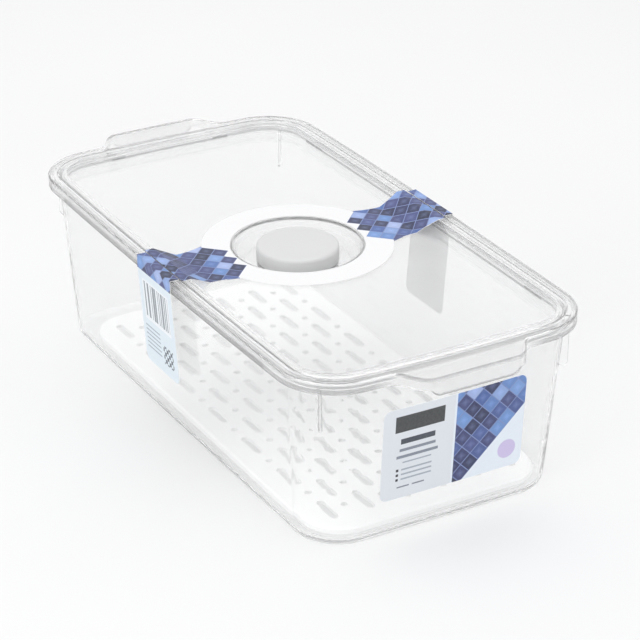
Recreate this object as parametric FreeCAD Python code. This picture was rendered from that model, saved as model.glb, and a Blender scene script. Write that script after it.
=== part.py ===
import FreeCAD, Part
import math
import os

V = FreeCAD.Vector
UP = V(0, 0, 1)

# Produce keeper, millimetres. X is the width, Y the length with the front end at -Y, Z up.
# The origin is the middle of the underside.

# Bin: drafted walls on a rounded rectangle, whose sides bow out a little towards the mouth
BASE_HALF_X = 70.3
BASE_HALF_Y = 144.9
CORNER = 25.5
WALL = 2.0
DRAFT = 0.078
BOW_X = 1.3
BOW_Y = 1.5
FLOOR = 2.6
FOOT_RING_WIDTH = 7.0
FOOT_RING_DEPTH = 0.8
BASE_EDGE = 3.6
CAVITY_EDGE = 2.5

# Rim: an inner ledge that carries the lid, a flat top and a lip that turns down
LEDGE_Z = 92.7
LEDGE_THICK = 2.0
LEDGE_STEP = 0.8
LID_DEPTH = 3.3
RIM_WIDTH = 4.8
RIM_PLATE = 2.4
LIP_THICK = 1.8
LIP_DROP = 6.3
RIM_CHAMFER = 0.7

# Grip handles: the rim bulges out at both ends
GRIP_REACH = 13.4
GRIP_ROOT_HALF = 36.0
GRIP_END_HALF = 27.0
GRIP_DROP = 9.6
GRIP_CORNER = 9.0
GRIP_BLEND = 8.0
GRIP_FLAP_HALF = 25.5
GRIP_FLAP_CORNER = 6.0

# Stacking ribs on the four corners, under the rim
RIB_THICK = 1.4
RIB_OUT = 2.2
RIB_HEIGHT = 24.0
RIB_TOE = 2.0

# Lid: a border on the ledge, a riser that plugs the mouth and a sunken panel
LID_GAP = 0.3
BORDER_WIDTH = 5.0
BORDER_PLATE = 2.0
BORDER_SKIRT = 2.0
BORDER_CHAMFER = 0.5
RISER = 1.7
PANEL = 2.0
WELL_DEPTH = 5.6

# Vent: a dished seat in the panel, a knob on top and a ported shutter below
DISH_MOUTH_R = 34.0
DISH_FLOOR_R = 27.5
DISH_DEPTH = 8.4
DISH_WALL = 2.0
HUB_R = 7.5
HUB_HEIGHT = 1.8
STEM_R = 4.0
STEM_FIT = 0.05
KNOB_R = 21.6
KNOB_PROUD = 0.6
KNOB_WALL = 1.8
KNOB_EDGE = 1.65
KNOB_SHOULDER_R = 7.0
AIR_GAP = 0.8
PORTS = 6
PORT_R0 = 11.5
PORT_R1 = 18.5
PORT_HALF_DEG = 12.0
STOP_R0 = 8.2
STOP_R1 = 10.3
STOP_HALF_DEG = 8.0
STOP_POST_DEG = 14.0
STOP_GAP_DEG = 1.5
STOP_HEIGHT = 3.3
SEAL_THICK = 0.8
SEAL_MARGIN = 0.5
SHUTTER_THICK = 2.0
SHUTTER_R = 21.0
SQUARE_HALF = 2.8
SQUARE_FIT = 0.05
BARB_LENGTH = 3.0
BARB_TIP_R = 2.9
PRONG_SLOT = 1.2

# Drain tray: a perforated plate with a turned-down edge, on feet, lying against the front end
TRAY_TOP_Z = 8.1
TRAY_PLATE = 1.8
TRAY_SIDE_GAP = 4.1
TRAY_FRONT_GAP = 3.2
TRAY_BACK_GAP = 20.0
TRAY_SKIRT = 1.6
TRAY_LIFT = 2.2
TRAY_CHAMFER = 1.0
SLOT_LENGTH = 19.0
SLOT_WIDTH = 4.5
HOLE_D = 3.8
COLUMN_PITCH = 10.25
ROW_PITCH = 18.45
TRAY_MARGIN = 9.0
FOOT_R = 3.0
FOOT_INSET = 6.0

# Card labels
CARD = 0.25
RING_LABEL_R0 = 35.2
RING_LABEL_R1 = 50.0
WING_HALF = 21.0
WING_WAIST_HALF = 19.0
WING_SLOPE = 12.0
FLAP_HALF = 18.5
FLAP_BOTTOM_Z = 36.5
FLAP_LEAN = 4.0
FLAP_CORNER = 4.0
FLAP_LAP = 1.0
CARD_CLEAR = 0.1
FRONT_CARD_X = 2.4
FRONT_CARD_HALF_X = 40.3
FRONT_CARD_Z0 = 21.2
FRONT_CARD_Z1 = 72.0
FRONT_CARD_CORNER = 4.0
FILM_GLUE = 0.05

# Worked out from the sizes above
RIM_TOP_Z = LEDGE_Z + LID_DEPTH
LIP_BOTTOM_Z = RIM_TOP_Z - LIP_DROP
PLATE_BOTTOM_Z = RIM_TOP_Z - RIM_PLATE
MOUTH_Z = LEDGE_Z - LEDGE_THICK
MOUTH_HALF_X = BASE_HALF_X + DRAFT * MOUTH_Z
MOUTH_HALF_Y = BASE_HALF_Y + DRAFT * MOUTH_Z
LID_EDGE = LEDGE_STEP - LID_GAP
WELL_EDGE = LID_EDGE - BORDER_WIDTH
RIM_OUT = LEDGE_STEP + RIM_WIDTH
GRIP_OUT_Y = MOUTH_HALF_Y + RIM_OUT + GRIP_REACH
PANEL_Z = RIM_TOP_Z - WELL_DEPTH
DISH_Z = PANEL_Z - DISH_DEPTH
DISH_UNDER_Z = DISH_Z - DISH_WALL
HUB_Z = DISH_Z + HUB_HEIGHT
KNOB_Z0 = DISH_Z + AIR_GAP
KNOB_Z1 = PANEL_Z + KNOB_PROUD
SHUTTER_Z1 = DISH_UNDER_Z - SEAL_THICK
SHUTTER_Z0 = SHUTTER_Z1 - SHUTTER_THICK
PORT_STEP_DEG = 360.0 / PORTS
TURN_DEG = PORT_STEP_DEG / 2


def outline(half_x, half_y, corner, bow_x, bow_y, z):
    """Rounded rectangle; its sides bow out to the half sizes from `bow` less at the corners."""
    ex, ey = half_x - bow_x, half_y - bow_y
    k = corner * (1 - math.sqrt(0.5))
    crown = [V(half_x, 0, z), V(0, half_y, z), V(-half_x, 0, z), V(0, -half_y, z)]
    quarters = [(1, -1), (1, 1), (-1, 1), (-1, -1)]
    rounds = []
    for i, (sx, sy) in enumerate(quarters):
        side = V(sx * ex, sy * (ey - corner), z)
        end = V(sx * (ex - corner), sy * ey, z)
        mid = V(sx * (ex - k), sy * (ey - k), z)
        rounds.append((end, mid, side) if i % 2 == 0 else (side, mid, end))
    edges = []
    for i, (first, mid, last) in enumerate(rounds):
        after = rounds[(i + 1) % 4][0]
        edges.append(Part.Arc(first, mid, last).toShape())
        if min(bow_x, bow_y) > 1e-6:
            edges.append(Part.Arc(last, crown[i], after).toShape())
        else:
            edges.append(Part.makeLine(last, after))
    return Part.Wire(edges)


def wall_outline(offset, z):
    """Outline that lies `offset` outside the wall at height z."""
    rise = DRAFT * z + offset
    share = z / MOUTH_Z
    return outline(BASE_HALF_X + rise, BASE_HALF_Y + rise, CORNER + offset,
                   BOW_X * share, BOW_Y * share, z)


def straight(offset, at_z, z0, z1):
    """Straight-sided block on the wall's outline at height at_z."""
    wire = wall_outline(offset, at_z)
    wire.translate(V(0, 0, z0 - at_z))
    return Part.Face(wire).extrude(V(0, 0, z1 - z0))


def mouth(offset, z0, z1):
    return straight(offset, MOUTH_Z, z0, z1)


def drafted(offset, z0, z1):
    """Block whose sides follow the draft of the walls."""
    return Part.makeLoft([wall_outline(offset, z0), wall_outline(offset, z1)], True, True)


def turned_in(offset, edge, z0, z1):
    """Drafted block whose bottom edge turns in over two slopes."""
    mid = edge * (1 - math.sqrt(0.5))
    steps = [(offset - edge, z0), (offset - mid, z0 + mid), (offset, z0 + edge), (offset, z1)]
    return Part.makeLoft([wall_outline(out, z) for out, z in steps], True, True)


def cylinder(r, z0, z1, x=0.0, y=0.0):
    return Part.makeCylinder(r, z1 - z0, V(x, y, z0))


def sector(r0, r1, mid_deg, half_deg, z0, z1):
    """Piece of a ring about the vent axis."""
    ring = Part.makeCylinder(r1, z1 - z0, V(0, 0, z0), UP, 2 * half_deg)
    ring = ring.cut(cylinder(r0, z0, z1))
    ring.rotate(V(0, 0, 0), UP, mid_deg - half_deg)
    return ring


def ports(offset_deg, grow, z0, z1):
    cuts = []
    for i in range(PORTS):
        mid = offset_deg + i * PORT_STEP_DEG
        cuts.append(sector(PORT_R0 - grow, PORT_R1 + grow, mid, PORT_HALF_DEG, z0, z1))
    return Part.makeCompound(cuts)


def level_edges(shape, z):
    """Edges that lie wholly at one height."""
    found = []
    for edge in shape.Edges:
        box = edge.BoundBox
        if abs(box.ZMin - z) < 1e-4 and abs(box.ZMax - z) < 1e-4:
            found.append(edge)
    return found


def upright_edges(shape, points):
    """Vertical edges that stand near the given (x, y) points."""
    found = []
    for edge in shape.Edges:
        box = edge.BoundBox
        if box.ZLength < 0.5 or box.XLength > 0.01 or box.YLength > 0.01:
            continue
        if any(math.hypot(box.XMin - x, box.YMin - y) < 2.0 for x, y in points):
            found.append(edge)
    return found


def rim_plan(z0, z1):
    """Outer block of the rim with the two grip bulges blended into it."""
    end_y = MOUTH_HALF_Y + RIM_OUT
    slant = (GRIP_ROOT_HALF - GRIP_END_HALF) / GRIP_REACH
    inner_y = end_y - RIM_WIDTH
    inner_half = GRIP_ROOT_HALF + slant * RIM_WIDTH
    block = mouth(RIM_OUT, z0, z1)
    for sy in (-1, 1):
        corners = [
            V(-inner_half, sy * inner_y, z0), V(-GRIP_END_HALF, sy * GRIP_OUT_Y, z0),
            V(GRIP_END_HALF, sy * GRIP_OUT_Y, z0), V(inner_half, sy * inner_y, z0)]
        bulge = Part.Face(Part.makePolygon(corners + corners[:1]))
        block = block.fuse(bulge.extrude(V(0, 0, z1 - z0)))
    block = block.removeSplitter()
    ends = [(sx * GRIP_END_HALF, sy * GRIP_OUT_Y) for sx in (-1, 1) for sy in (-1, 1)]
    roots = [(sx * GRIP_ROOT_HALF, sy * end_y) for sx in (-1, 1) for sy in (-1, 1)]
    block = block.makeFillet(GRIP_CORNER, upright_edges(block, ends))
    return block.makeFillet(GRIP_BLEND, upright_edges(block, roots))


def rim_lip(z0, z1):
    """Thin wall along the outer edge of the rim."""
    plan = rim_plan(z0, z1)
    base = [f for f in plan.Faces if abs(f.BoundBox.ZMax - z0) < 1e-4][0]
    inside = Part.Face(base.OuterWire).makeOffset2D(-LIP_THICK)
    return plan.cut(inside.extrude(V(0, 0, z1 - z0)))


def flap_tongue(sy, low):
    """Block that gives a grip's flap its width and rounded lower corners."""
    block = Part.makeBox(2 * GRIP_FLAP_HALF, 3 * GRIP_REACH, 2 * GRIP_DROP,
                         V(-GRIP_FLAP_HALF, sy * GRIP_OUT_Y - 1.5 * GRIP_REACH, low))
    lower = [e for e in level_edges(block, low) if abs(e.tangentAt(e.FirstParameter).y) > 0.9]
    return block.makeFillet(GRIP_FLAP_CORNER, lower)


def grip_flaps():
    """Deeper part of the lip on the two grips, sloping up to the rim at its ends."""
    low = RIM_TOP_Z - GRIP_DROP
    lip = rim_lip(low, LIP_BOTTOM_Z)
    root_y = MOUTH_HALF_Y + RIM_OUT
    flaps = []
    for sy in (-1, 1):
        side = Part.makePolygon([
            V(-GRIP_ROOT_HALF * 2, sy * root_y, LIP_BOTTOM_Z),
            V(-GRIP_ROOT_HALF * 2, sy * (GRIP_OUT_Y - GRIP_CORNER / 2), low),
            V(-GRIP_ROOT_HALF * 2, sy * (GRIP_OUT_Y + 1), low),
            V(-GRIP_ROOT_HALF * 2, sy * (GRIP_OUT_Y + 1), LIP_BOTTOM_Z),
            V(-GRIP_ROOT_HALF * 2, sy * root_y, LIP_BOTTOM_Z)])
        flap = lip.common(Part.Face(side).extrude(V(GRIP_ROOT_HALF * 4, 0, 0)))
        flaps.append(flap.common(flap_tongue(sy, low)))
    return flaps


def corner_rib(sx, sy):
    """Upright rib on the middle of one corner, from the rim down to a sloped toe."""
    top = PLATE_BOTTOM_Z
    low = MOUTH_Z - RIB_HEIGHT
    centre = V(sx * (MOUTH_HALF_X - BOW_X - CORNER), sy * (MOUTH_HALF_Y - BOW_Y - CORNER), 0)
    inner = CORNER - WALL / 2 - DRAFT * RIB_HEIGHT * math.sqrt(2)
    outer = CORNER + RIB_OUT
    side = Part.makePolygon([
        V(inner, 0, low), V(outer - RIB_TOE, 0, low), V(outer, 0, low + RIB_TOE),
        V(outer, 0, top), V(inner, 0, top), V(inner, 0, low)])
    rib = Part.Face(side).extrude(V(0, RIB_THICK, 0))
    rib.translate(V(0, -RIB_THICK / 2, 0))
    rib.rotate(V(0, 0, 0), UP, math.degrees(math.atan2(sy, sx)))
    rib.translate(centre)
    return rib


def build_bin():
    body = turned_in(0, BASE_EDGE, 0, MOUTH_Z)
    body = body.cut(straight(-FOOT_RING_WIDTH, 0, -1, FOOT_RING_DEPTH))

    top = rim_plan(PLATE_BOTTOM_Z, RIM_TOP_Z)
    top = top.makeChamfer(RIM_CHAMFER, level_edges(top, RIM_TOP_Z))
    step = mouth(LEDGE_STEP + LIP_THICK, MOUTH_Z, PLATE_BOTTOM_Z)
    body = body.fuse([top, rim_lip(LIP_BOTTOM_Z, PLATE_BOTTOM_Z), step] + grip_flaps())
    body = body.fuse([corner_rib(sx, sy) for sx in (-1, 1) for sy in (-1, 1)])

    cavity = turned_in(-WALL, CAVITY_EDGE, FLOOR, LEDGE_Z)
    seat = mouth(LEDGE_STEP, LEDGE_Z, RIM_TOP_Z + 1)
    return body.cut([cavity, seat]).removeSplitter()


def build_lid():
    under = PANEL_Z - PANEL
    body = mouth(LID_EDGE, LEDGE_Z, RIM_TOP_Z)
    body = body.makeChamfer(BORDER_CHAMFER, level_edges(body, RIM_TOP_Z))
    body = body.cut(mouth(LID_EDGE - BORDER_SKIRT, LEDGE_Z, RIM_TOP_Z - BORDER_PLATE))
    body = body.fuse(mouth(WELL_EDGE + RISER, under, RIM_TOP_Z - BORDER_PLATE / 2))
    body = body.cut(mouth(WELL_EDGE, PANEL_Z, RIM_TOP_Z + 1))

    slope = (DISH_MOUTH_R - DISH_FLOOR_R) / DISH_DEPTH
    skin = DISH_WALL * math.sqrt(1 + slope * slope)
    bowl = Part.makeCone(DISH_FLOOR_R + skin - slope * DISH_WALL, DISH_MOUTH_R + skin - slope * PANEL,
                         under - DISH_UNDER_Z, V(0, 0, DISH_UNDER_Z))
    hollow = Part.makeCone(DISH_FLOOR_R, DISH_MOUTH_R, DISH_DEPTH, V(0, 0, DISH_Z))
    body = body.fuse(bowl).cut(hollow)
    body = body.fuse(cylinder(HUB_R, DISH_UNDER_Z, HUB_Z))
    for side in (-1, 1):
        reach = STOP_HALF_DEG + STOP_GAP_DEG + STOP_POST_DEG / 2
        mid = TURN_DEG + reach if side > 0 else -reach
        post = sector(STOP_R0, STOP_R1, mid, STOP_POST_DEG / 2, DISH_UNDER_Z, DISH_Z + STOP_HEIGHT)
        body = body.fuse(post)
    body = body.cut(cylinder(STEM_R + STEM_FIT, DISH_UNDER_Z - 1, HUB_Z + 1))
    body = body.cut(ports(TURN_DEG, 0, DISH_UNDER_Z - 1, DISH_Z + 1))
    return body.removeSplitter()


def build_knob():
    mid = KNOB_EDGE * (1 - math.sqrt(0.5))
    profile = [(0, KNOB_Z0), (KNOB_R, KNOB_Z0), (KNOB_R, KNOB_Z1 - KNOB_EDGE),
               (KNOB_R - mid, KNOB_Z1 - mid), (KNOB_R - KNOB_EDGE, KNOB_Z1), (0, KNOB_Z1)]
    ring = Part.makePolygon([V(r, 0, z) for r, z in profile + profile[:1]])
    cap = Part.Face(ring).revolve(V(0, 0, 0), UP, 360)
    roof = KNOB_Z1 - KNOB_WALL
    cap = cap.cut(cylinder(KNOB_R - KNOB_WALL, KNOB_Z0, roof))
    cap = cap.fuse(cylinder(KNOB_SHOULDER_R, HUB_Z, roof))
    cap = cap.fuse(sector(STOP_R0, STOP_R1, 0, STOP_HALF_DEG, KNOB_Z0, roof))
    cap = cap.fuse(cylinder(STEM_R, SHUTTER_Z1, HUB_Z))
    side = 2 * SQUARE_HALF
    key = Part.makeBox(side, side, SHUTTER_THICK, V(-SQUARE_HALF, -SQUARE_HALF, SHUTTER_Z0))
    barb = Part.makeCone(BARB_TIP_R, STEM_R, BARB_LENGTH, V(0, 0, SHUTTER_Z0 - BARB_LENGTH))
    cap = cap.fuse([key, barb])
    slot_box = Part.makeBox(PRONG_SLOT, 4 * STEM_R, BARB_LENGTH + SHUTTER_THICK / 2,
                            V(-PRONG_SLOT / 2, -2 * STEM_R, SHUTTER_Z0 - BARB_LENGTH))
    return cap.cut(slot_box).removeSplitter()


def build_shutter():
    half = SQUARE_HALF + SQUARE_FIT
    disc = cylinder(SHUTTER_R, SHUTTER_Z0, SHUTTER_Z1)
    disc = disc.cut(ports(0, 0, SHUTTER_Z0 - 1, SHUTTER_Z1 + 1))
    return disc.cut(Part.makeBox(2 * half, 2 * half, SHUTTER_THICK + 2, V(-half, -half, SHUTTER_Z0 - 1)))


def build_seal():
    disc = cylinder(SHUTTER_R - SEAL_MARGIN, SHUTTER_Z1, DISH_UNDER_Z)
    disc = disc.cut(ports(0, SEAL_MARGIN, SHUTTER_Z1 - 1, DISH_UNDER_Z + 1))
    return disc.cut(cylinder(STEM_R + SEAL_MARGIN, SHUTTER_Z1 - 1, DISH_UNDER_Z + 1))


def slot_cutter(x, y, z0, z1):
    """Slot along Y; its round ends have three sides each, to keep the pattern light."""
    r = SLOT_WIDTH / 2
    half = SLOT_LENGTH / 2 - r
    points = []
    for sy in (1, -1):
        for deg in (0, 60, 120, 180):
            turn = math.radians(deg if sy > 0 else deg + 180)
            points.append(V(x + r * math.cos(turn), y + sy * half + r * math.sin(turn), z0))
    return Part.Face(Part.makePolygon(points + points[:1])).extrude(V(0, 0, z1 - z0))


def hole_cutter(x, y, z0, z1):
    """Eight-sided drain hole between the slots."""
    points = []
    for k in range(8):
        turn = math.radians(45 * k + 22.5)
        points.append(V(x + HOLE_D / 2 * math.cos(turn), y + HOLE_D / 2 * math.sin(turn), z0))
    return Part.Face(Part.makePolygon(points + points[:1])).extrude(V(0, 0, z1 - z0))


def build_tray():
    under = TRAY_TOP_Z - TRAY_PLATE
    skirt_z = FLOOR + TRAY_LIFT
    room_y = BASE_HALF_Y + DRAFT * skirt_z - WALL
    half_x = BASE_HALF_X + DRAFT * skirt_z - WALL - TRAY_SIDE_GAP
    half_y = room_y - (TRAY_FRONT_GAP + TRAY_BACK_GAP) / 2
    mid_y = (TRAY_FRONT_GAP - TRAY_BACK_GAP) / 2
    corner = CORNER - WALL - TRAY_SIDE_GAP

    tray = Part.Face(outline(half_x, half_y, corner, 0, 0, skirt_z)).extrude(V(0, 0, TRAY_TOP_Z - skirt_z))
    tray = tray.makeChamfer(TRAY_CHAMFER, level_edges(tray, TRAY_TOP_Z))
    inside = outline(half_x - TRAY_SKIRT, half_y - TRAY_SKIRT, corner - TRAY_SKIRT, 0, 0, skirt_z)
    tray = tray.cut(Part.Face(inside).extrude(V(0, 0, under - skirt_z)))

    columns = int((half_x - TRAY_MARGIN - SLOT_WIDTH / 2) // COLUMN_PITCH)
    rows = int((half_y - TRAY_MARGIN - SLOT_LENGTH / 2) // ROW_PITCH)
    cuts = []
    for i in range(-columns, columns + 1):
        for k in range(-rows, rows + 1):
            cutter = slot_cutter if (i + k) % 2 else hole_cutter
            cuts.append(cutter(i * COLUMN_PITCH, k * ROW_PITCH, under - 1, TRAY_TOP_Z + 1))
    tray = tray.cut(Part.makeCompound(cuts))

    feet_y = half_y - corner - FOOT_INSET
    feet = []
    for sx in (-1, 1):
        for k in (-1, -1 / 3, 1 / 3, 1):
            feet.append(cylinder(FOOT_R, FLOOR, under + TRAY_PLATE / 2,
                                 sx * (half_x - FOOT_INSET), k * feet_y))
    tray = tray.fuse(feet).removeSplitter()
    tray.translate(V(0, mid_y, 0))
    return tray


def wing(sx):
    """Card strip from the ring to the lid's border: flat, then sloping up, then flat on the border."""
    edge = MOUTH_HALF_X + LID_EDGE - BORDER_CHAMFER
    well = MOUTH_HALF_X + WELL_EDGE - CARD_CLEAR
    start = math.sqrt(RING_LABEL_R1 ** 2 - WING_WAIST_HALF ** 2) - 4
    waist_x = (RING_LABEL_R1 + well) / 2
    under = [(start, PANEL_Z), (well - WING_SLOPE, PANEL_Z), (well, RIM_TOP_Z), (edge, RIM_TOP_Z)]
    over = [(x, z + CARD) for x, z in reversed(under)]
    side = Part.makePolygon([V(x, -2 * WING_HALF, z) for x, z in under + over + under[:1]])
    strip = Part.Face(side).extrude(V(0, 4 * WING_HALF, 0))

    z0 = PANEL_Z - 1
    root = WING_WAIST_HALF + 4
    plan = Part.Wire([
        Part.Arc(V(start, -root, z0), V(waist_x, -WING_WAIST_HALF, z0), V(well, -WING_HALF, z0)).toShape(),
        Part.makeLine(V(well, -WING_HALF, z0), V(edge, -WING_HALF, z0)),
        Part.makeLine(V(edge, -WING_HALF, z0), V(edge, WING_HALF, z0)),
        Part.makeLine(V(edge, WING_HALF, z0), V(well, WING_HALF, z0)),
        Part.Arc(V(well, WING_HALF, z0), V(waist_x, WING_WAIST_HALF, z0), V(start, root, z0)).toShape(),
        Part.makeLine(V(start, root, z0), V(start, -root, z0))])
    strip = strip.common(Part.Face(plan).extrude(V(0, 0, 2 * WELL_DEPTH)))
    return strip if sx > 0 else strip.mirror(V(0, 0, 0), V(1, 0, 0))


def build_lid_label():
    card = cylinder(RING_LABEL_R1, PANEL_Z, PANEL_Z + CARD).fuse([wing(-1), wing(1)])
    return card.cut(cylinder(RING_LABEL_R0, PANEL_Z - 1, PANEL_Z + 1)).removeSplitter()


def card_plate(half, length, corner):
    """Upright card in the XZ plane with rounded lower corners, its back on y = 0."""
    card = Part.makeBox(2 * half, CARD, length, V(-half, -CARD, 0))
    corners = []
    for edge in card.Edges:
        box = edge.BoundBox
        through = box.YLength > CARD / 2 and box.XLength < 0.01 and box.ZLength < 0.01
        if through and box.ZMin < length / 2:
            corners.append(edge)
    return card.makeFillet(corner, corners)


def build_side_label(sx):
    """Card that folds over the rim on one long side and hangs down beside the wall."""
    seat = MOUTH_HALF_X + LEDGE_STEP
    rim = seat + RIM_WIDTH
    top = Part.makeBox(RIM_WIDTH + CARD, 2 * FLAP_HALF, CARD, V(seat, -FLAP_HALF, RIM_TOP_Z))
    face = Part.makeBox(CARD, 2 * FLAP_HALF, LIP_DROP + CARD, V(rim, -FLAP_HALF, LIP_BOTTOM_Z))
    drop = LIP_BOTTOM_Z - FLAP_BOTTOM_Z
    flap = card_plate(FLAP_HALF, math.hypot(drop, FLAP_LEAN) + FLAP_LAP, FLAP_CORNER)
    flap.rotate(V(0, 0, 0), UP, 90)
    flap.rotate(V(0, 0, 0), V(0, 1, 0), math.degrees(math.atan2(FLAP_LEAN, drop)))
    flap.translate(V(rim - FLAP_LEAN, 0, FLAP_BOTTOM_Z))
    card = top.fuse([face, flap]).removeSplitter()
    if sx < 0:
        card = card.mirror(V(0, 0, 0), V(1, 0, 0))
    return card


def build_front_label():
    """Film on the front wall that follows its draft and bow, on a thin layer of glue."""
    height = FRONT_CARD_Z1 - FRONT_CARD_Z0
    prism = Part.makeBox(2 * FRONT_CARD_HALF_X, BASE_HALF_Y, height,
                         V(FRONT_CARD_X - FRONT_CARD_HALF_X, -2 * BASE_HALF_Y, FRONT_CARD_Z0))
    corners = [e for e in prism.Edges if e.BoundBox.YLength > 1]
    prism = prism.makeFillet(FRONT_CARD_CORNER, corners)
    prism.translate(V(0, BASE_HALF_Y / 2, 0))
    skin = drafted(FILM_GLUE + CARD, 0, MOUTH_Z).cut(drafted(FILM_GLUE, 0, MOUTH_Z))
    return prism.common(skin)


def main():
    os.makedirs("parts", exist_ok=True)
    nodes = {
        "bin": build_bin(),
        "lid": build_lid(),
        "drain_tray": build_tray(),
        "vent_knob": build_knob(),
        "vent_shutter": build_shutter(),
        "vent_seal": build_seal(),
        "lid_label": build_lid_label(),
        "side_label_left": build_side_label(-1),
        "side_label_right": build_side_label(1),
        "front_label": build_front_label(),
    }
    for name, shape in nodes.items():
        shape.exportStep("parts/%s.step" % name)
        print(name, shape.isValid(), len(shape.Solids), round(shape.Volume / 1000, 2), "cm3")


main()
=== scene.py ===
import math

import bpy
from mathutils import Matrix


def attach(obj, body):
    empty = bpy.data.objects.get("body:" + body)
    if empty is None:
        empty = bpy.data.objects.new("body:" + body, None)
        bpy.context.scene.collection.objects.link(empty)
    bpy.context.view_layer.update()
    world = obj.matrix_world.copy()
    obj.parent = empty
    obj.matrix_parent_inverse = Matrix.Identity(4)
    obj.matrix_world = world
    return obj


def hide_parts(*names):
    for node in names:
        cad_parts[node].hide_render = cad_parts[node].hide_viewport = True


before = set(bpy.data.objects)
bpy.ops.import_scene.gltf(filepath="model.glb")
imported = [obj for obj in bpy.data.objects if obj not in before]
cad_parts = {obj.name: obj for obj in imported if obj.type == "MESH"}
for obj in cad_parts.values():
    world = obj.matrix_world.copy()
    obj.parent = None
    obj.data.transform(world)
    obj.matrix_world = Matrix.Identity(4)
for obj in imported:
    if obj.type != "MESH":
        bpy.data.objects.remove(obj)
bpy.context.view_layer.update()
MM = 0.001

# Studio: a lamp has its place, its aim, its side in metres and its watts

CAMERA_PLACE = (-0.56997, -1.01929, 0.62885)
CAMERA_TILT, CAMERA_TURN = 63.49, -29.78
CAMERA_LENS, CAMERA_SENSOR = 139.54, 36.0
LAMPS = {
    "top_softbox": ((0.1, 0.15, 1.6), (0, 0, 0), 2.0, 5.4),
    "left_softbox": ((-1.5, -0.4, 0.9), (0, 0, 0.05), 1.0, 4.2),
    "front_softbox": ((-0.2, -1.7, 0.8), (0, 0, 0.05), 0.9, 1.5),
}
AMBIENT, AMBIENT_STRENGTH = (0.995, 0.997, 1.0, 1), 0.92
BACKDROP = [(0.05, (0.8, 0.8, 0.81)), (0.55, (1, 1, 1))]
FLOOR_SIDE, FLOOR_Z, FLOOR_GRAIN = 12, -0.4 * MM, 40
FLOOR_TONES = (0.855, 0.855, 0.855), (0.87, 0.87, 0.87)

# Places on the mouldings, in millimetres. A reach is how far out a place lies in the rim's rounded plan.

CORNER_X, CORNER_Y = 50.5, 125.5
RIM_Z, RIM_REACH = 88.5, 20.0
LIP_Z, LIP_HALF, LIP_REACH = 91.0, 1.4, 29.6
LIP_END_X, LIP_FADE = 38.0, 10.0
UNDER_LIP_Z = 89.5
GRIP_Y = 158.5
FLAP_CORNER_X, FLAP_CORNER_Z, FLAP_EDGE_R = 19.5, 92.4, 5.45
RIB_OFFSET, RIB_HALF, RIB_REACH = -74.4, 0.5, 27.0
SOLE_Z = 2.2
BORDER_FOOT_Z, BORDER_FOOT_HALF = 91.2, 0.7
BORDER_WALL_REACH, BORDER_WALL_HALF = 22.2, 1.0
RIM_TOP_Z, LEDGE_Z, PANEL_Z = 96.0, 92.7, 90.4
DISH_R, DISH_EDGE_HALF = 34.0, 1.3
SLOTS_X, SLOTS_FRONT_Y, SLOTS_BACK_Y, TRAY_LEAST = 60, -131, 114, 1.5
KNOB_TOP_Z, KNOB_TOP_R = 89, 17
LEDGE_LIFT = 0.08
DISH_ROUND, SLOT_ROUND, KNOB_ROUND = 0.5, 0.55, 0.45
NEAR, NEAR_R = 0.02, 0.05

# Plastics: tones go from the darker to the paler, and an etch is a roughness

NOISE_LOW, NOISE_HIGH = 0.3, 0.7
BIN_TONES = (0.96, 0.961, 0.962), (0.97, 0.971, 0.972)
LID_TONES = (0.98, 0.981, 0.982), (0.99, 0.991, 0.992)
TRAY_TONES = (0.95, 0.95, 0.95), (0.97, 0.97, 0.97)
KNOB_TONES = (0.665, 0.665, 0.667), (0.69, 0.69, 0.692)
SEAL_TONES = (0.68, 0.68, 0.68), (0.74, 0.74, 0.74)
# Painted shade: a grey mixed into the clear plastics' tint along dark lines and bands of the rim, ribs, flaps
# and border
PAINTED_SHADE_GREY = (0.48, 0.48, 0.483)
CLEAR_POLISH = 0.015, 0.05
GRIP_ETCH, SOLE_ETCH, RIM_ETCH, DISH_ETCH = 0.2, 0.4, 0.12, 0.34
TRAY_SATIN, KNOB_SATIN, SEAL_SATIN, SATIN_SPREAD = 0.45, 0.4, 0.6, 0.06
CLEAR_PASS, TRAY_PASS = 1.0, 0.985
CLEAR_PASS_TINT, TRAY_PASS_TINT = (0.996, 0.997, 0.997, 1), (1, 1, 1, 1)

# Prints: a mark has its centre and half size in millimetres, and its ink

TILE_SCALE = 140.0
TILE_HALF = math.sqrt(0.5) / TILE_SCALE
TILE_LINE, TILE_LINE_INK = 0.468, (0.2, 0.26, 0.5)
TILE_TONES = [(0.0, (0.01, 0.016, 0.055)), (0.3, (0.028, 0.036, 0.12)), (0.5, (0.06, 0.075, 0.22)),
              (0.7, (0.06, 0.13, 0.38)), (0.85, (0.16, 0.3, 0.62)), (1.0, (0.4, 0.48, 0.76))]
TILE_GLEAM, TILE_GLEAM_SHARE = [(0.0, (0.1, 0.13, 0.22)), (0.3, (0, 0, 0))], 0.6
FIBRE_SHARE, FIBRE_GREY = 0.06, (0.55, 0.57, 0.6)
CARD_SATIN, FILM_SATIN, PRINT_SPREAD = 0.42, 0.38, 0.05
FACING = 0.2
# The side cards' bare back is a paler white than the other backs: partly the card's own white, partly painted
# light that lifts it out of the shade inside the bin
LID_CARD_BACK, SIDE_CARD_BACK_LIT, FILM_BACK = (0.9, 0.9, 0.9), (0.97, 0.97, 0.97), (0.93, 0.93, 0.93)

RING_WHITE = (0.87, 0.87, 0.875)
WING_START, WING_SIDE, WING_OUTER = 7 * TILE_HALF, 3 * TILE_HALF, 9 * TILE_HALF

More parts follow.
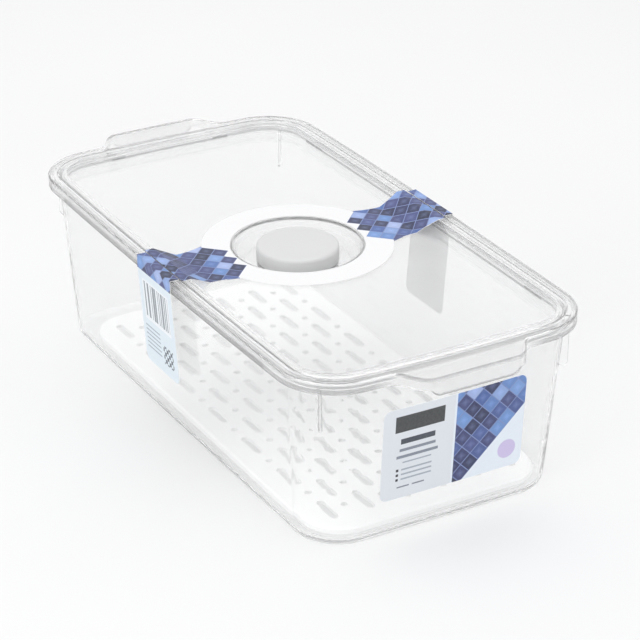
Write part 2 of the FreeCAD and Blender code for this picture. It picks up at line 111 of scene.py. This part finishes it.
SIDE_BLUE, FOLD_Z = (0.72, 0.8, 0.865), 89.4
SIDE_PANEL = (0, 73.5), (14.5, 11.5), (0.84, 0.88, 0.92)
SIDE_BARS, BAR_SCALE = ((0, 74), (13.5, 10), (0.25, 0.28, 0.31)), 520
SIDE_RULES = (7.5, 52.5), (8, 7.5), (0.36, 0.41, 0.48)
RULE_PITCH, RULE_SHARE = 2.5, 0.32
SIDE_CHEQUER, CHEQUER_SCALE = ((-8.5, 48), (5.4, 5.4), (0.1, 0.12, 0.15)), 460

FILM_SHIFT, FILM_SPLIT = 2.2, -0.5
TILES_EDGE, TILES_SLOPE = 0.6, 3 * TILE_HALF
FILM_GREY, FILM_BLUE = (0.72, 0.755, 0.805), (0.77, 0.83, 0.91)
DISC_U, DISC_V, DISC_R, DISC_LILAC = 31.6, 31.7, 5.2, (0.6, 0.53, 0.78)
MID_INK, PALE_INK = (0.22, 0.25, 0.3), (0.36, 0.4, 0.46)
FOOT_INK, DOT_INK = (0.2, 0.22, 0.26), (0.03, 0.03, 0.04)
FILM_MARKS = [
    ((-19.8, 63.1), (13.6, 4.5), (0.046, 0.05, 0.052)),
    ((-20.5, 53.2), (9.5, 1.5), (0.05, 0.06, 0.08)),
    ((-20.5, 48.4), (10, 0.8), MID_INK),
    ((-20.5, 44.6), (11.5, 0.8), MID_INK),
    ((-20.5, 41.2), (8, 0.4), PALE_INK),
    ((-27.5, 27.4), (3.4, 0.4), FOOT_INK),
    ((-19, 27.4), (3.4, 0.4), FOOT_INK),
]
for row_v in (37.2, 34.5, 31.8):
    FILM_MARKS += [((-31.2, row_v), (0.7, 0.7), DOT_INK), ((-20.5, row_v), (8.5, 0.45), PALE_INK)]


# Node helpers

def new_material(name):
    """Material, its node tree and its main shader."""
    material = bpy.data.materials.new(name)
    material.use_nodes = True
    tree = material.node_tree
    return material, tree, tree.nodes["Principled BSDF"]


def math_node(tree, kind, a, b=None, c=None):
    node = tree.nodes.new("ShaderNodeMath")
    node.operation = kind
    for socket, value in zip(node.inputs, (a, b, c)):
        if value is None:
            continue
        if isinstance(value, (int, float)):
            socket.default_value = value
        else:
            tree.links.new(value, socket)
    return node.outputs[0]


def product(tree, value, *factors):
    for factor in factors:
        value = math_node(tree, "MULTIPLY", value, factor)
    return value


def highest(tree, value, *others):
    for other in others:
        value = math_node(tree, "MAXIMUM", value, other)
    return value


def above(tree, value, limit):
    """1 past a limit in millimetres."""
    return math_node(tree, "GREATER_THAN", value, limit * MM)


def below(tree, value, limit):
    """1 short of a limit in millimetres."""
    return math_node(tree, "LESS_THAN", value, limit * MM)


def within(tree, value, middle, half):
    """1 in a band, in millimetres."""
    return math_node(tree, "COMPARE", value, middle * MM, half * MM)


def mix_colour(tree, factor, a, b, blend="MIX"):
    node = tree.nodes.new("ShaderNodeMix")
    node.data_type = "RGBA"
    node.blend_type = blend
    sockets = (node.inputs["Factor"], *[s for s in node.inputs if s.type == "RGBA"])
    for socket, value in zip(sockets, (factor, a, b)):
        if isinstance(value, (int, float)):
            socket.default_value = value
        elif isinstance(value, tuple):
            socket.default_value = (*value, 1)
        else:
            tree.links.new(value, socket)
    return [s for s in node.outputs if s.type == "RGBA"][0]


def mix_shaders(tree, factor, first, second, out):
    node = tree.nodes.new("ShaderNodeMixShader")
    for value, socket in zip((factor, first.outputs[0], second.outputs[0]), node.inputs):
        tree.links.new(value, socket)
    tree.links.new(node.outputs[0], out.inputs["Surface"])


def ramp(tree, factor, stops):
    node = tree.nodes.new("ShaderNodeValToRGB")
    while len(node.color_ramp.elements) < len(stops):
        node.color_ramp.elements.new(0.5)
    for element, (at, colour) in zip(node.color_ramp.elements, stops):
        element.position = at
        element.color = (*colour, 1)
    tree.links.new(factor, node.inputs["Fac"])
    return node.outputs["Color"]


def between_tones(tree, noise, low, high):
    return ramp(tree, noise, [(NOISE_LOW, low), (NOISE_HIGH, high)])


def between_values(tree, noise, low, high):
    node = tree.nodes.new("ShaderNodeMapRange")
    node.inputs["From Min"].default_value = NOISE_LOW
    node.inputs["From Max"].default_value = NOISE_HIGH
    node.inputs["To Min"].default_value = low
    node.inputs["To Max"].default_value = high
    tree.links.new(noise, node.inputs["Value"])
    return node.outputs["Result"]


def bump(tree, shader, height, strength, distance):
    node = tree.nodes.new("ShaderNodeBump")
    node.inputs["Strength"].default_value = strength
    node.inputs["Distance"].default_value = distance
    tree.links.new(height, node.inputs["Height"])
    tree.links.new(node.outputs["Normal"], shader.inputs["Normal"])


def split_place(tree, kind="Object"):
    """X, Y and Z of a texture coordinate."""
    place = tree.nodes.new("ShaderNodeTexCoord")
    split = tree.nodes.new("ShaderNodeSeparateXYZ")
    tree.links.new(place.outputs[kind], split.inputs[0])
    return split.outputs


def flat_place(tree, u, v):
    flat = tree.nodes.new("ShaderNodeCombineXYZ")
    tree.links.new(u, flat.inputs["X"])
    tree.links.new(v, flat.inputs["Y"])
    return flat.outputs["Vector"]


def corner_distance(tree, a, a_start, b, b_start):
    """Distance past the start of a rounded corner, in metres; the starts are in millimetres."""
    past_a = highest(tree, math_node(tree, "SUBTRACT", a, a_start * MM), 0.0)
    past_b = highest(tree, math_node(tree, "SUBTRACT", b, b_start * MM), 0.0)
    return math_node(tree, "SQRT", math_node(tree, "ADD", math_node(tree, "POWER", past_a, 2.0),
                                             math_node(tree, "POWER", past_b, 2.0)))


# Shared textures

def new_group(name, inputs, outputs):
    group = bpy.data.node_groups.new(name, "ShaderNodeTree")
    for label, value in inputs:
        socket = group.interface.new_socket(name=label, in_out="INPUT", socket_type="NodeSocketFloat")
        socket.default_value = value
    for label in outputs:
        group.interface.new_socket(name=label, in_out="OUTPUT", socket_type="NodeSocketFloat")
    return group, group.nodes.new("NodeGroupInput"), group.nodes.new("NodeGroupOutput")


def add_group(tree, group, **values):
    node = tree.nodes.new("ShaderNodeGroup")
    node.node_tree = group
    for key, value in values.items():
        node.inputs[key.replace("_", " ")].default_value = value
    return node


def add_noise(group, start, end, scale, detail, result):
    """Noise of a group, from the input that holds its scale to the output that it feeds."""
    place = group.nodes.new("ShaderNodeTexCoord")
    noise = group.nodes.new("ShaderNodeTexNoise")
    noise.inputs["Detail"].default_value = detail
    group.links.new(place.outputs["Object"], noise.inputs["Vector"])
    group.links.new(start.outputs[scale], noise.inputs["Scale"])
    group.links.new(noise.outputs["Fac"], end.inputs[result])


def moulded_surface_group():
    """Fine satin texture and slow flow marks of a moulded plastic."""
    group, start, end = new_group("moulded_surface", [("Grain Scale", 2500.0), ("Flow Scale", 14.0)],
                                  ["Grain", "Flow"])
    add_noise(group, start, end, "Grain Scale", 3, "Grain")
    add_noise(group, start, end, "Flow Scale", 2, "Flow")
    return group


def card_fibre_group():
    group, start, end = new_group("card_fibre", [("Fibre Scale", 900.0)], ["Fibre"])
    add_noise(group, start, end, "Fibre Scale", 4, "Fibre")
    return group


def lozenge_print_group():
    """Plain lozenge tiles in a few related tones, for the printed fields of the labels."""
    group, start, end = new_group("lozenge_print", [("U", 0.0), ("V", 0.0), ("Tile Scale", TILE_SCALE)],
                                  ["Tone", "Line"])
    turn = group.nodes.new("ShaderNodeMapping")
    turn.inputs["Rotation"].default_value = (0, 0, math.radians(45))
    group.links.new(flat_place(group, start.outputs["U"], start.outputs["V"]), turn.inputs["Vector"])
    tiles = group.nodes.new("ShaderNodeTexVoronoi")
    tiles.voronoi_dimensions = "2D"
    tiles.distance = "CHEBYCHEV"
    tiles.inputs["Randomness"].default_value = 0.0
    group.links.new(turn.outputs["Vector"], tiles.inputs["Vector"])
    group.links.new(start.outputs["Tile Scale"], tiles.inputs["Scale"])
    split = group.nodes.new("ShaderNodeSeparateColor")
    group.links.new(tiles.outputs["Color"], split.inputs["Color"])
    group.links.new(split.outputs[0], end.inputs["Tone"])
    group.links.new(tiles.outputs["Distance"], end.inputs["Line"])
    return group


# Camera, light and floor

def place_camera():
    data = bpy.data.cameras.new("view")
    data.sensor_width = CAMERA_SENSOR
    data.lens = CAMERA_LENS
    camera = bpy.data.objects.new("view", data)
    camera.location = CAMERA_PLACE
    camera.rotation_euler = (math.radians(CAMERA_TILT), 0, math.radians(CAMERA_TURN))
    bpy.context.scene.collection.objects.link(camera)
    bpy.context.scene.camera = camera


def soft_lamp(name, place, aim, side, watts):
    data = bpy.data.lights.new(name, "AREA")
    data.shape = "RECTANGLE"
    data.size = data.size_y = side
    data.energy = watts
    lamp = bpy.data.objects.new(name, data)
    lamp.location = place
    x, y, z = [a - p for a, p in zip(aim, place)]
    lamp.rotation_euler = (math.atan2(math.hypot(x, y), -z), 0, math.atan2(-x, y))
    bpy.context.scene.collection.objects.link(lamp)


def light_studio():
    """An even white room, with a backdrop that is seen in and through the clear pieces."""
    world = bpy.data.worlds.new("studio")
    bpy.context.scene.world = world
    world.use_nodes = True
    tree = world.node_tree
    tree.nodes.clear()
    path = tree.nodes.new("ShaderNodeLightPath")
    seen = highest(tree, path.outputs["Is Camera Ray"], path.outputs["Is Glossy Ray"],
                   path.outputs["Is Transmission Ray"])
    ambient = tree.nodes.new("ShaderNodeBackground")
    ambient.inputs["Color"].default_value = AMBIENT
    ambient.inputs["Strength"].default_value = AMBIENT_STRENGTH
    height = split_place(tree, "Generated")["Z"]
    backdrop = tree.nodes.new("ShaderNodeBackground")
    tree.links.new(ramp(tree, height, BACKDROP), backdrop.inputs["Color"])
    mix_shaders(tree, seen, ambient, backdrop, tree.nodes.new("ShaderNodeOutputWorld"))
    for name, lamp in LAMPS.items():
        soft_lamp(name, *lamp)


def lay_floor():
    bpy.ops.object.select_all(action="DESELECT")
    bpy.ops.mesh.primitive_plane_add(size=FLOOR_SIDE, location=(0, 0, FLOOR_Z))
    floor = bpy.context.object
    floor.name = "studio_floor"
    material, tree, shader = new_material("floor_paint")
    grain = tree.nodes.new("ShaderNodeTexNoise")
    grain.inputs["Scale"].default_value = FLOOR_GRAIN
    tree.links.new(between_tones(tree, grain.outputs["Fac"], *FLOOR_TONES), shader.inputs["Base Color"])
    shader.inputs["Roughness"].default_value = 0.9
    shader.inputs["Specular IOR Level"].default_value = 0.0
    floor.data.materials.append(material)


# Plastics

def pass_soft_light(tree, shader, share, tint):
    """Lets through a share of lamp light and of light that already bounced off a matt surface."""
    path = tree.nodes.new("ShaderNodeLightPath")
    bounced = math_node(tree, "GREATER_THAN", path.outputs["Diffuse Depth"], 0.5)
    soft = highest(tree, path.outputs["Is Shadow Ray"], bounced)
    clear = tree.nodes.new("ShaderNodeBsdfTransparent")
    clear.inputs["Color"].default_value = tint
    mix_shaders(tree, product(tree, soft, share), shader, clear, tree.nodes["Material Output"])


def rim_place(tree, axes):
    """Distances across and along from the middle, and the reach in the rim's rounded plan."""
    across = math_node(tree, "ABSOLUTE", axes["X"])
    along = math_node(tree, "ABSOLUTE", axes["Y"])
    return across, along, corner_distance(tree, across, CORNER_X, along, CORNER_Y)


def rim_etch(tree, axes, reach):
    """Slightly duller polish where lid and rim nest."""
    return product(tree, above(tree, axes["Z"], RIM_Z), above(tree, reach, RIM_REACH), RIM_ETCH)


def bin_painted_shade_and_etch(tree):
    """Painted shade in grey on the lip's lower half, the ribs' edges and the flaps' outlines; grips and foot
    are etched.
    """
    axes = split_place(tree)
    across, along, reach = rim_place(tree, axes)
    grip = above(tree, along, GRIP_Y)
    under_lip = below(tree, axes["Z"], UNDER_LIP_Z)
    beside_grip = highest(tree, math_node(tree, "SUBTRACT", across, LIP_END_X * MM), 0.0)
    fade = math_node(tree, "MINIMUM", math_node(tree, "DIVIDE", beside_grip, LIP_FADE * MM), 1.0)
    # Painted shade: grey band along the lower half of the lip, fading out beside the grips
    lip_shade = product(tree, within(tree, axes["Z"], LIP_Z, LIP_HALF), above(tree, reach, LIP_REACH), fade)
    drop = math_node(tree, "MULTIPLY", axes["Z"], -1.0)
    flap_reach = corner_distance(tree, across, FLAP_CORNER_X, drop, -FLAP_CORNER_Z)
    # Painted shade: grey line around each grip flap's outline
    flap_outline_shade = product(tree, grip, under_lip, above(tree, flap_reach, FLAP_EDGE_R))
    diagonal = within(tree, math_node(tree, "SUBTRACT", across, along), RIB_OFFSET, RIB_HALF)
    # Painted shade: grey lines along the ribs' edges
    rib_shade = product(tree, diagonal, above(tree, reach, RIB_REACH), under_lip)
    sole = below(tree, axes["Z"], SOLE_Z)
    etched = highest(tree, product(tree, grip, GRIP_ETCH), rim_etch(tree, axes, reach),
                     product(tree, sole, SOLE_ETCH))
    return highest(tree, lip_shade, flap_outline_shade, rib_shade), etched


def lid_painted_shade_and_etch(tree):
    """Painted shade in grey at the foot of the border's inner wall; the rim of the dished seat is etched."""
    axes = split_place(tree)
    across, along, reach = rim_place(tree, axes)
    radius = corner_distance(tree, across, 0.0, along, 0.0)
    dish_rim = within(tree, radius, DISH_R, DISH_EDGE_HALF)
    # Painted shade: grey line at the foot of the border's inner wall
    border_foot_shade = product(tree, within(tree, axes["Z"], BORDER_FOOT_Z, BORDER_FOOT_HALF),
                   within(tree, reach, BORDER_WALL_REACH, BORDER_WALL_HALF))
    return border_foot_shade, highest(tree, product(tree, dish_rim, DISH_ETCH), rim_etch(tree, axes, reach))


def clear_plastic(name, surface, shade_and_etch, tones):
    """Clear moulding; its shade-and-etch function gives the edges where grey shade is painted into the tint,
    and its etched faces.
    """
    material, tree, shader = new_material(name)
    texture = add_group(tree, surface, Grain_Scale=700.0, Flow_Scale=22.0)
    tint = between_tones(tree, texture.outputs["Flow"], *tones)
    polish = between_values(tree, texture.outputs["Grain"], *CLEAR_POLISH)
    edge, etched = shade_and_etch(tree)
    # Painted shade: where `edge` is 1 the tint turns grey
    tree.links.new(mix_colour(tree, edge, tint, PAINTED_SHADE_GREY), shader.inputs["Base Color"])
    tree.links.new(highest(tree, polish, etched), shader.inputs["Roughness"])
    shader.inputs["Transmission Weight"].default_value = 0.92
    shader.inputs["IOR"].default_value = 1.42
    bump(tree, shader, texture.outputs["Flow"], strength=0.006, distance=0.004)
    pass_soft_light(tree, shader, CLEAR_PASS, CLEAR_PASS_TINT)
    return material


def satin_plastic(name, surface, tones, satin):
    material, tree, shader = new_material(name)
    texture = add_group(tree, surface, Grain_Scale=2600.0, Flow_Scale=18.0)
    tree.links.new(between_tones(tree, texture.outputs["Flow"], *tones), shader.inputs["Base Color"])
    tree.links.new(between_values(tree, texture.outputs["Grain"], satin - SATIN_SPREAD, satin + SATIN_SPREAD),
                   shader.inputs["Roughness"])
    bump(tree, shader, texture.outputs["Grain"], strength=0.12, distance=0.0002)
    return material, tree, shader


# Printed labels

def field(tree, u, v, centre, half):
    """Mask of an upright rectangle, in millimetres."""
    return product(tree, within(tree, u, centre[0], half[0]), within(tree, v, centre[1], half[1]))


def rules(tree, v, start):
    """Mask of plain printed rules of one pitch, up from a start in millimetres."""
    wave = math_node(tree, "WRAP", v, (start + RULE_PITCH) * MM, start * MM)
    return below(tree, wave, start + RULE_SHARE * RULE_PITCH)


def lozenge_colour(tree, lozenges, u, v):
    tiles = add_group(tree, lozenges, Tile_Scale=TILE_SCALE)
    tree.links.new(u, tiles.inputs["U"])
    tree.links.new(v, tiles.inputs["V"])
    gleam = ramp(tree, tiles.outputs["Line"], TILE_GLEAM)
    tone = mix_colour(tree, TILE_GLEAM_SHARE, ramp(tree, tiles.outputs["Tone"], TILE_TONES), gleam, "ADD")
    line = math_node(tree, "GREATER_THAN", tiles.outputs["Line"], TILE_LINE)
    return mix_colour(tree, line, tone, TILE_LINE_INK)


def outer_side(tree):
    """1 on the outer side of the folded card, 0 on its bare back."""
    facing, axes = split_place(tree, "Normal"), split_place(tree)
    outward = product(tree, facing["X"], math_node(tree, "SIGN", axes["X"]))
    return math_node(tree, "GREATER_THAN", highest(tree, outward, facing["Z"]), FACING)


def front_side(tree):
    """1 on the front of the film, 0 on its bare back."""
    return math_node(tree, "LESS_THAN", split_place(tree, "Normal")["Y"], -FACING)


def finish_print(tree, shader, fibre, colour, satin):
    texture = add_group(tree, fibre).outputs["Fibre"]
    shaded = mix_colour(tree, between_values(tree, texture, 0.0, FIBRE_SHARE), colour, FIBRE_GREY)
    tree.links.new(shaded, shader.inputs["Base Color"])
    tree.links.new(between_values(tree, texture, satin - PRINT_SPREAD, satin + PRINT_SPREAD),
                   shader.inputs["Roughness"])
    bump(tree, shader, texture, strength=0.03, distance=0.0002)


def lid_card(fibre, lozenges):
    """White ring with lozenge tiles on both wings, cut off along the tiles."""
    material, tree, shader = new_material("lid_card")
    axes = split_place(tree)
    across = math_node(tree, "ABSOLUTE", axes["X"])
    along = math_node(tree, "ABSOLUTE", axes["Y"])
    inner = math_node(tree, "SUBTRACT", across, math_node(tree, "PINGPONG", axes["Y"], TILE_HALF))
    side = math_node(tree, "SUBTRACT", along, math_node(tree, "PINGPONG", across, TILE_HALF))
    beside = highest(tree, math_node(tree, "LESS_THAN", side, WING_SIDE),
                     math_node(tree, "GREATER_THAN", across, WING_OUTER))
    wing = product(tree, math_node(tree, "GREATER_THAN", inner, WING_START), beside)
    colour = mix_colour(tree, wing, RING_WHITE, lozenge_colour(tree, lozenges, axes["X"], axes["Y"]))
    colour = mix_colour(tree, outer_side(tree), LID_CARD_BACK, colour)
    finish_print(tree, shader, fibre, colour, CARD_SATIN)
    return material


def side_card(fibre, lozenges):
    """Lozenge tiles on the fold, and below it bars, rules and a chequer on pale blue."""
    material, tree, shader = new_material("side_card")
    axes = split_place(tree)
    u, v = axes["Y"], axes["Z"]
    bars = tree.nodes.new("ShaderNodeTexNoise")
    bars.noise_dimensions = "1D"
    bars.inputs["Scale"].default_value = BAR_SCALE
    bars.inputs["Detail"].default_value = 0
    tree.links.new(u, bars.inputs["W"])
    chequer = tree.nodes.new("ShaderNodeTexChecker")
    chequer.inputs["Scale"].default_value = CHEQUER_SCALE
    tree.links.new(flat_place(tree, u, v), chequer.inputs["Vector"])
    rules_start = SIDE_RULES[0][1] - SIDE_RULES[1][1]
    patterns = [(SIDE_PANEL, 1.0), (SIDE_BARS, math_node(tree, "GREATER_THAN", bars.outputs["Fac"], 0.5)),
                (SIDE_RULES, rules(tree, v, rules_start)), (SIDE_CHEQUER, chequer.outputs["Fac"])]
    colour = SIDE_BLUE
    for (centre, half, ink), pattern in patterns:
        colour = mix_colour(tree, product(tree, field(tree, u, v, centre, half), pattern), colour, ink)
    unfolded = math_node(tree, "ADD", math_node(tree, "ABSOLUTE", axes["X"]),
                         math_node(tree, "SUBTRACT", RIM_TOP_Z * MM, v))
    colour = mix_colour(tree, above(tree, v, FOLD_Z), colour, lozenge_colour(tree, lozenges, unfolded, u))
    # Partly painted light: the bare back gets the paler, lifted white
    colour = mix_colour(tree, outer_side(tree), SIDE_CARD_BACK_LIT, colour)
    finish_print(tree, shader, fibre, colour, CARD_SATIN)
    return material


def front_film(fibre, lozenges):
    """Plain bars and rules on the left, lozenge tiles and a lilac disc on the right."""
    material, tree, shader = new_material("front_film")
    axes = split_place(tree)
    u, v = math_node(tree, "SUBTRACT", axes["X"], FILM_SHIFT * MM), axes["Z"]
    colour = mix_colour(tree, above(tree, u, FILM_SPLIT), FILM_GREY, FILM_BLUE)
    slope = math_node(tree, "GREATER_THAN", math_node(tree, "SUBTRACT", v, u), TILES_SLOPE)
    tiled = product(tree, above(tree, u, TILES_EDGE), slope)
    colour = mix_colour(tree, tiled, colour, lozenge_colour(tree, lozenges, u, v))
    from_u = math_node(tree, "SUBTRACT", u, DISC_U * MM)
    from_v = math_node(tree, "SUBTRACT", v, DISC_V * MM)
    radius = math_node(tree, "SQRT", math_node(tree, "ADD", math_node(tree, "POWER", from_u, 2.0),
                                               math_node(tree, "POWER", from_v, 2.0)))
    colour = mix_colour(tree, below(tree, radius, DISC_R), colour, DISC_LILAC)
    for centre, half, ink in FILM_MARKS:
        colour = mix_colour(tree, field(tree, u, v, centre, half), colour, ink)
    colour = mix_colour(tree, front_side(tree), FILM_BACK, colour)
    finish_print(tree, shader, fibre, colour, FILM_SATIN)
    return material


# Pieces

def merged_copy(node, name):
    """Merged copy of a moulding's mesh, left active with nothing selected in it."""
    piece = bpy.data.objects.new(name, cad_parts[node].data.copy())
    bpy.context.scene.collection.objects.link(piece)
    bpy.ops.object.select_all(action="DESELECT")
    bpy.context.view_layer.objects.active = piece
    piece.select_set(True)
    bpy.ops.mesh.customdata_custom_splitnormals_clear()
    bpy.ops.object.mode_set(mode="EDIT")
    bpy.ops.mesh.select_all(action="SELECT")
    bpy.ops.mesh.remove_doubles(threshold=0.01 * MM)
    bpy.ops.mesh.select_all(action="DESELECT")
    bpy.ops.object.mode_set(mode="OBJECT")
    return piece


def pick_points(piece, test):
    """Select the vertices that pass a test, then enter edit mode."""
    bpy.context.tool_settings.mesh_select_mode = (True, False, False)
    for point in piece.data.vertices:
        point.select = test(point.co)
    bpy.ops.object.mode_set(mode="EDIT")


def round_edges(piece, test, offset, segments):
    """Round the edges whose two ends pass a test, and stay in edit mode."""
    bpy.context.tool_settings.mesh_select_mode = (False, True, False)
    points = piece.data.vertices
    for edge in piece.data.edges:
        edge.select = test(*[points[i].co for i in edge.vertices])
    bpy.ops.object.mode_set(mode="EDIT")
    bpy.ops.mesh.bevel(offset=offset * MM, offset_type="OFFSET", segments=segments, profile=0.5, affect="EDGES")


def finish_copy(piece, node, body, material, angle=32):
    bpy.ops.object.mode_set(mode="OBJECT")
    bpy.ops.object.shade_smooth_by_angle(angle=math.radians(angle))
    even = piece.modifiers.new("even_normals", "WEIGHTED_NORMAL")
    even.keep_sharp = True
    bpy.ops.object.modifier_apply(modifier=even.name)
    piece.data.materials.clear()
    piece.data.materials.append(material)
    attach(piece, body)
    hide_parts(node)


def bin_shell(material):
    piece = merged_copy("bin", "bin_shell")
    finish_copy(piece, "bin", "bin", material)


def lid_shell(material):
    """The border's underside stands a hair off the ledge, and the rim of the dished seat is rounded."""
    piece = merged_copy("lid", "lid_shell")
    pick_points(piece, lambda p: abs(p.z - LEDGE_Z * MM) < NEAR * MM)
    bpy.ops.transform.translate(value=(0, 0, LEDGE_LIFT * MM))
    bpy.ops.mesh.select_all(action="DESELECT")
    bpy.ops.object.mode_set(mode="OBJECT")

    def dish_rim(a, b):
        return all(abs(math.hypot(p.x, p.y) - DISH_R * MM) < NEAR_R * MM and abs(p.z - PANEL_Z * MM) < NEAR * MM
                   for p in (a, b))
    round_edges(piece, dish_rim, DISH_ROUND, 4)
    finish_copy(piece, "lid", "lid", material)


def tray_plate(material):
    """The ends of the slots and holes are rounded."""
    piece = merged_copy("drain_tray", "tray_plate")

    def upright(a, b):
        inside = abs(a.x) < SLOTS_X * MM and SLOTS_FRONT_Y * MM < a.y < SLOTS_BACK_Y * MM
        plumb = math.hypot(a.x - b.x, a.y - b.y) < NEAR * MM
        return inside and plumb and abs(a.z - b.z) > TRAY_LEAST * MM
    round_edges(piece, upright, SLOT_ROUND, 2)
    finish_copy(piece, "drain_tray", "tray", material)


def vent_cap(material):
    """Flat faces are made whole first, then the rings of the top edge are rounded."""
    piece = merged_copy("vent_knob", "vent_cap")
    bpy.ops.object.mode_set(mode="EDIT")
    bpy.ops.mesh.select_all(action="SELECT")
    bpy.ops.mesh.dissolve_limited(angle_limit=math.radians(0.5))
    bpy.ops.mesh.select_all(action="DESELECT")
    bpy.ops.object.mode_set(mode="OBJECT")

    def top_ring(a, b):
        level = abs(a.z - b.z) < NEAR * MM and min(a.z, b.z) > KNOB_TOP_Z * MM
        return level and math.hypot(a.x, a.y) > KNOB_TOP_R * MM
    round_edges(piece, top_ring, KNOB_ROUND, 3)
    finish_copy(piece, "vent_knob", "vent", material, 40)


def dress(node, material):
    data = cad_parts[node].data
    data.materials.clear()
    data.materials.append(material)


bpy.context.scene.view_settings.view_transform = "Standard"
place_camera()
light_studio()
lay_floor()

surface = moulded_surface_group()
fibre = card_fibre_group()
lozenges = lozenge_print_group()

tray_white, tray_tree, tray_shader = satin_plastic("tray_white", surface, TRAY_TONES, TRAY_SATIN)
pass_soft_light(tray_tree, tray_shader, TRAY_PASS, TRAY_PASS_TINT)
knob_grey = satin_plastic("knob_grey", surface, KNOB_TONES, KNOB_SATIN)[0]
seal_soft = satin_plastic("seal_silicone", surface, SEAL_TONES, SEAL_SATIN)[0]
side_print = side_card(fibre, lozenges)

bin_shell(clear_plastic("clear_bin_plastic", surface, bin_painted_shade_and_etch, BIN_TONES))
lid_shell(clear_plastic("clear_lid_plastic", surface, lid_painted_shade_and_etch, LID_TONES))
tray_plate(tray_white)
vent_cap(knob_grey)
dress("vent_shutter", knob_grey)
dress("vent_seal", seal_soft)
dress("lid_label", lid_card(fibre, lozenges))
dress("side_label_left", side_print)
dress("side_label_right", side_print)
dress("front_label", front_film(fibre, lozenges))
